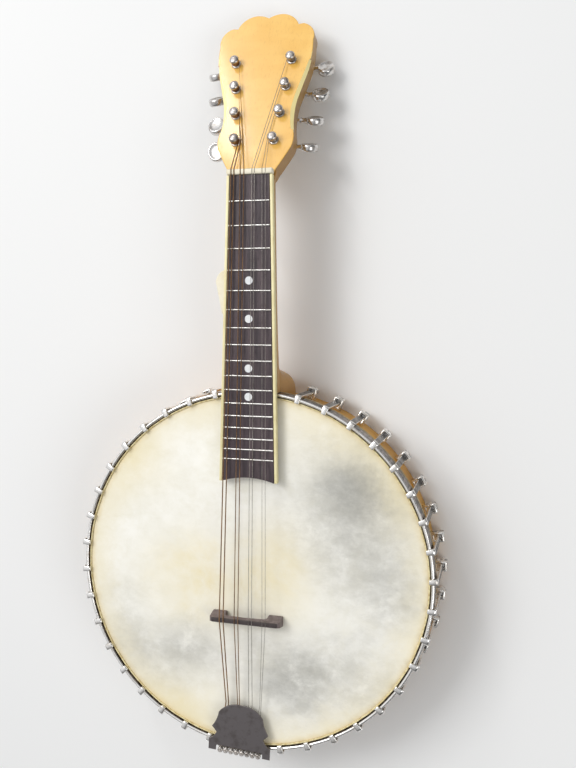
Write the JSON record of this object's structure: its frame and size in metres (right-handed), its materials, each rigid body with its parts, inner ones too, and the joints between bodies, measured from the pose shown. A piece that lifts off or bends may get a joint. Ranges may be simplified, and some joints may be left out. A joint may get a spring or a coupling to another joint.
{
  "type": "banjo mandolin",
  "caption": "Banjo mandolin: a round skin-headed pot with hooks all round, a short fretted neck, and worm tuners that wind its paired strings.",
  "frame": {"origin": "middle of the whole instrument's length and width, on the plane of the rim's back face", "axes": "+Y runs along the neck from the tailpiece to the headstock, +Z out of the head, +X to the treble side"},
  "size_m": [0.2856, 0.5648, 0.0702],
  "materials": {
    "maple": "amber varnish over maple",
    "rim_wood": "brown varnish",
    "rosewood": "oiled rosewood, worn",
    "dark_wood": "dark stained maple",
    "calfskin": "aged calfskin with grey patches",
    "celluloid": "yellowed celluloid",
    "pearl": "mother-of-pearl look",
    "nickel": "nickel plate, lightly tarnished",
    "dark_nickel": "tarnished pressed nickel plate",
    "steel": "drawn steel",
    "bronze": "bronze wound"
  },
  "bodies": {
    "body": {"binding_bass": "celluloid", "binding_treble": "celluloid", "bridge": "dark_wood", "dot_10": "pearl", "dot_12": "pearl", "dot_5": "pearl", "dot_7": "pearl", "dowel_stick": "maple", "ferrule_bass_1": "nickel", "ferrule_bass_2": "nickel", "ferrule_bass_3": "nickel", "ferrule_bass_4": "nickel", "ferrule_treble_1": "nickel", "ferrule_treble_2": "nickel", "ferrule_treble_3": "nickel", "ferrule_treble_4": "nickel", "fingerboard": "rosewood", "flesh_hoop": "steel", "head": "calfskin", "neck": "maple", "neck_brace": "nickel", "nut": "celluloid", "rim": "rim_wood", "side_pip": "celluloid", "string_1": "bronze", "string_2": "bronze", "string_3": "bronze", "string_4": "bronze", "string_5": "steel", "string_6": "steel", "string_7": "steel", "string_8": "steel", "tail_bolt": "nickel", "tail_bracket": "nickel", "tail_cover": "dark_nickel", "tension_hoop": "nickel", "tone_ring": "steel", "tuner_plate_bass": "nickel", "tuner_plate_treble": "nickel"},
    "post_treble_1": {"post_treble_1": "nickel"},
    "key_treble_1": {"key_treble_1": "nickel"},
    "post_treble_2": {"post_treble_2": "nickel"},
    "key_treble_2": {"key_treble_2": "nickel"},
    "post_treble_3": {"post_treble_3": "nickel"},
    "key_treble_3": {"key_treble_3": "nickel"},
    "post_treble_4": {"post_treble_4": "nickel"},
    "key_treble_4": {"key_treble_4": "nickel"},
    "post_bass_1": {"post_bass_1": "nickel"},
    "key_bass_1": {"key_bass_1": "nickel"},
    "post_bass_2": {"post_bass_2": "nickel"},
    "key_bass_2": {"key_bass_2": "nickel"},
    "post_bass_3": {"post_bass_3": "nickel"},
    "key_bass_3": {"key_bass_3": "nickel"},
    "post_bass_4": {"post_bass_4": "nickel"},
    "key_bass_4": {"key_bass_4": "nickel"}
  },
  "joints": [
    {"name": "key_treble_1_turn", "type": "hinge", "parent": "body", "child": "key_treble_1", "pos_m": [0.0152, 0.17999, 0.03238], "axis": [0.9942, -0.1021, 0.0353], "continuous": true},
    {"name": "post_treble_1_turn", "type": "hinge", "parent": "body", "child": "post_treble_1", "pos_m": [0.0145, 0.18009, 0.05245], "axis": [0, 0.3267, 0.9451], "continuous": true},
    {"name": "key_treble_2_turn", "type": "hinge", "parent": "body", "child": "key_treble_2", "pos_m": [0.01761, 0.20094, 0.02514], "axis": [0.9942, -0.1021, 0.0353], "continuous": true},
    {"name": "post_treble_2_turn", "type": "hinge", "parent": "body", "child": "post_treble_2", "pos_m": [0.01691, 0.20104, 0.04521], "axis": [0, 0.3267, 0.9451], "continuous": true},
    {"name": "key_treble_3_turn", "type": "hinge", "parent": "body", "child": "key_treble_3", "pos_m": [0.02002, 0.22189, 0.01789], "axis": [0.9942, -0.1021, 0.0353], "continuous": true},
    {"name": "post_treble_3_turn", "type": "hinge", "parent": "body", "child": "post_treble_3", "pos_m": [0.01932, 0.22199, 0.03796], "axis": [0, 0.3267, 0.9451], "continuous": true},
    {"name": "key_treble_4_turn", "type": "hinge", "parent": "body", "child": "key_treble_4", "pos_m": [0.02243, 0.24285, 0.01065], "axis": [0.9942, -0.1021, 0.0353], "continuous": true},
    {"name": "post_treble_4_turn", "type": "hinge", "parent": "body", "child": "post_treble_4", "pos_m": [0.02173, 0.24295, 0.03072], "axis": [0, 0.3267, 0.9451], "continuous": true},
    {"name": "key_bass_1_turn", "type": "hinge", "parent": "body", "child": "key_bass_1", "pos_m": [-0.0152, 0.17999, 0.03238], "axis": [-0.9942, -0.1021, 0.0353], "continuous": true},
    {"name": "post_bass_1_turn", "type": "hinge", "parent": "body", "child": "post_bass_1", "pos_m": [-0.0145, 0.18009, 0.05245], "axis": [0, 0.3267, 0.9451], "continuous": true},
    {"name": "key_bass_2_turn", "type": "hinge", "parent": "body", "child": "key_bass_2", "pos_m": [-0.01761, 0.20094, 0.02514], "axis": [-0.9942, -0.1021, 0.0353], "continuous": true},
    {"name": "post_bass_2_turn", "type": "hinge", "parent": "body", "child": "post_bass_2", "pos_m": [-0.01691, 0.20104, 0.04521], "axis": [0, 0.3267, 0.9451], "continuous": true},
    {"name": "key_bass_3_turn", "type": "hinge", "parent": "body", "child": "key_bass_3", "pos_m": [-0.02002, 0.22189, 0.01789], "axis": [-0.9942, -0.1021, 0.0353], "continuous": true},
    {"name": "post_bass_3_turn", "type": "hinge", "parent": "body", "child": "post_bass_3", "pos_m": [-0.01932, 0.22199, 0.03796], "axis": [0, 0.3267, 0.9451], "continuous": true},
    {"name": "key_bass_4_turn", "type": "hinge", "parent": "body", "child": "key_bass_4", "pos_m": [-0.02243, 0.24285, 0.01065], "axis": [-0.9942, -0.1021, 0.0353], "continuous": true},
    {"name": "post_bass_4_turn", "type": "hinge", "parent": "body", "child": "post_bass_4", "pos_m": [-0.02173, 0.24295, 0.03072], "axis": [0, 0.3267, 0.9451], "continuous": true}
  ],
  "couplings": [
    {"joint": "post_treble_1_turn", "follows": "key_treble_1_turn", "ratio": 0.071429},
    {"joint": "post_treble_2_turn", "follows": "key_treble_2_turn", "ratio": 0.071429},
    {"joint": "post_treble_3_turn", "follows": "key_treble_3_turn", "ratio": 0.071429},
    {"joint": "post_treble_4_turn", "follows": "key_treble_4_turn", "ratio": 0.071429},
    {"joint": "post_bass_1_turn", "follows": "key_bass_1_turn", "ratio": -0.071429},
    {"joint": "post_bass_2_turn", "follows": "key_bass_2_turn", "ratio": -0.071429},
    {"joint": "post_bass_3_turn", "follows": "key_bass_3_turn", "ratio": -0.071429},
    {"joint": "post_bass_4_turn", "follows": "key_bass_4_turn", "ratio": -0.071429}
  ]
}
